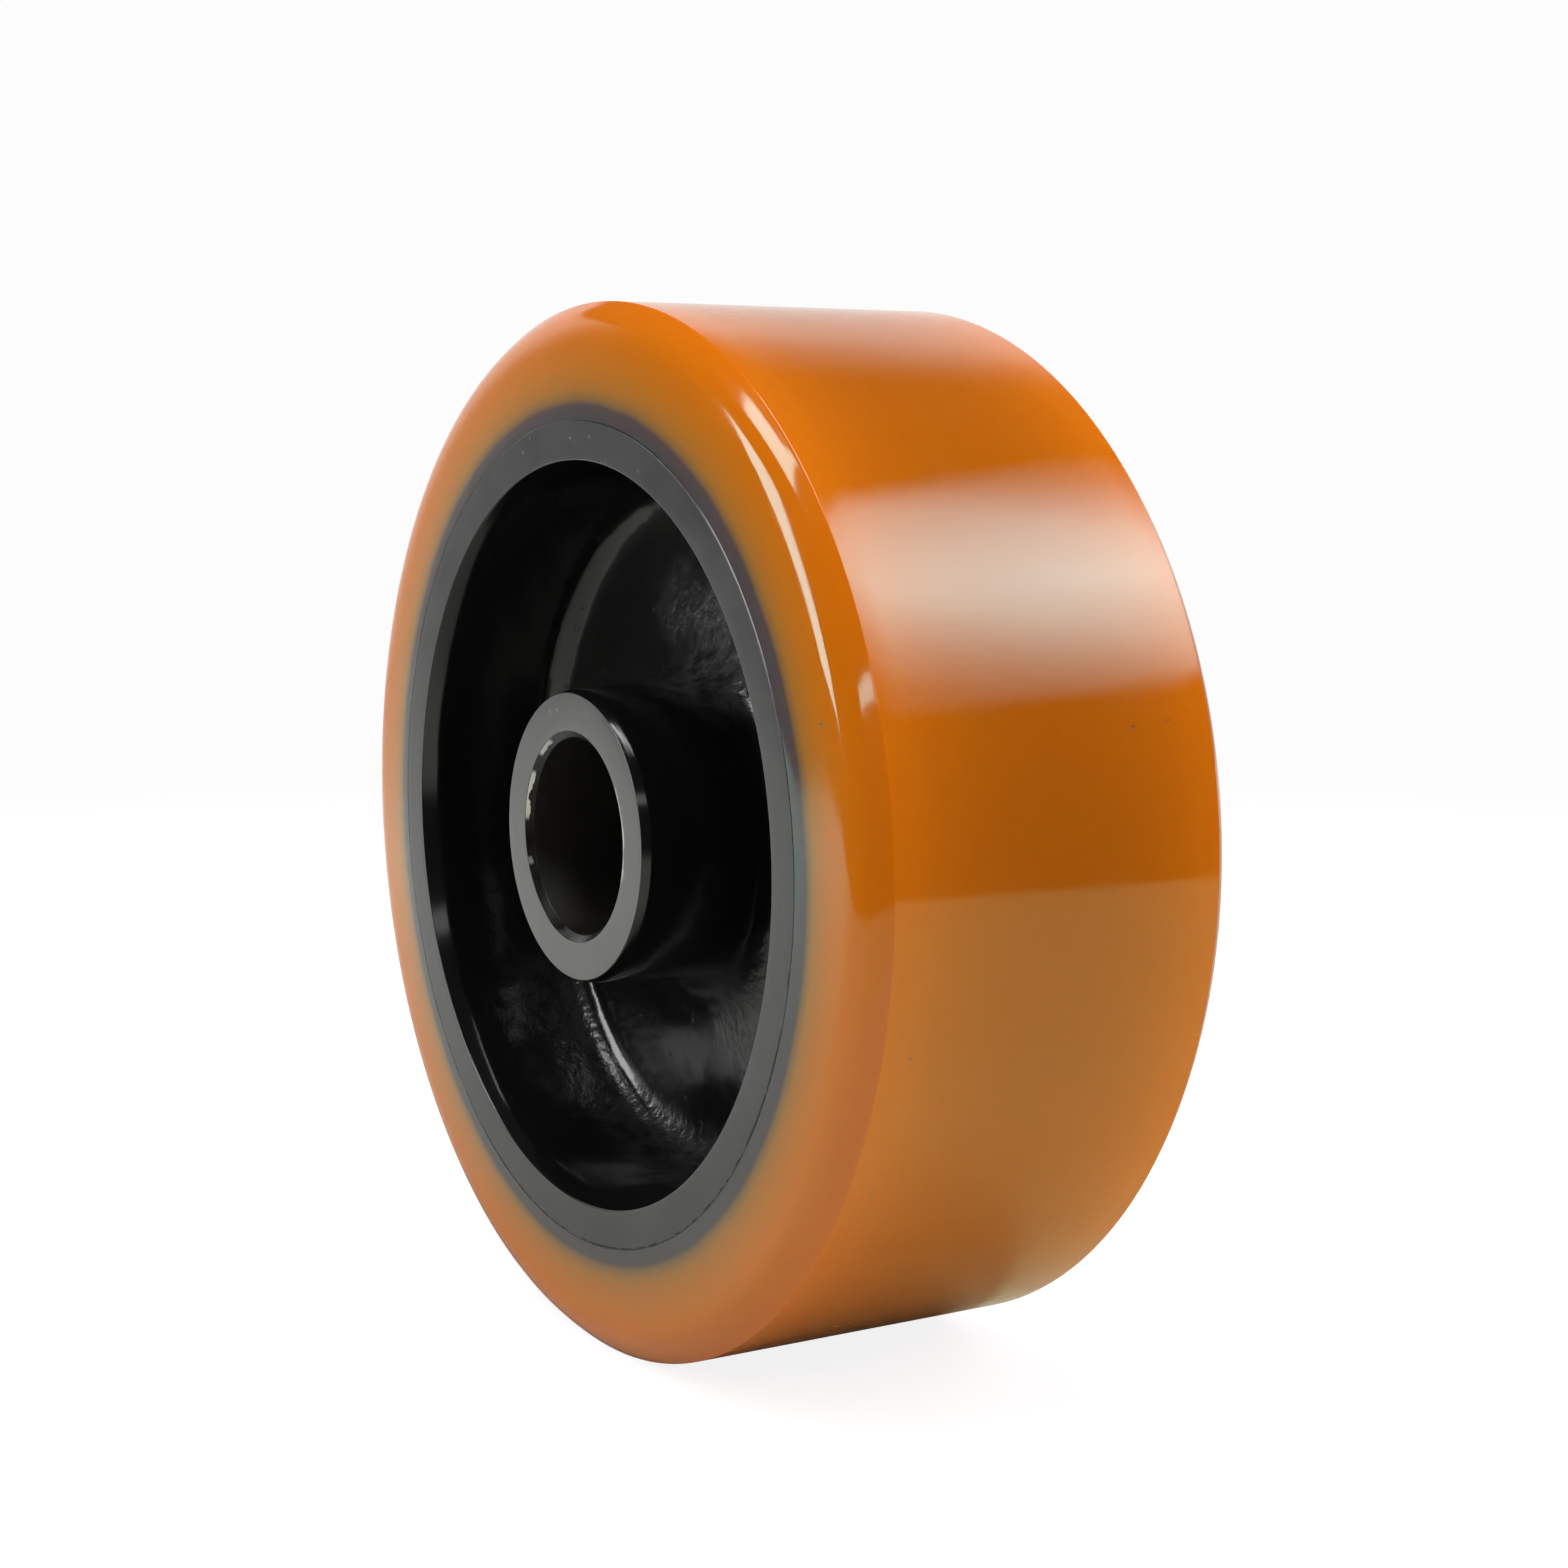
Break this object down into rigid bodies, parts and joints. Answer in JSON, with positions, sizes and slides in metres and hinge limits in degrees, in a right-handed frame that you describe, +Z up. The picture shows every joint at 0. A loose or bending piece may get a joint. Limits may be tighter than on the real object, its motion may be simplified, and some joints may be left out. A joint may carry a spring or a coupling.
{
  "type": "forklift wheel",
  "caption": "Heavy-duty wheel: an orange polyurethane tyre bonded to a one-piece cast iron centre with rim, web, hub barrel and a plain through bore for the axle.",
  "frame": {"origin": "centre of the wheel, on the axle line and midway between its two sides", "axes": "+Y along the axle bore, the line the wheel turns about; +Z up; the two sides are alike"},
  "size_m": [0.25, 0.1, 0.25],
  "materials": {
    "polyurethane": "glossy translucent amber-orange polyurethane",
    "iron": "gloss black paint over a rough casting, with turned satin grey faces on the rim and the barrel"
  },
  "bodies": {
    "root": {"tyre": "polyurethane", "wheel_centre": "iron"}
  },
  "joints": []
}
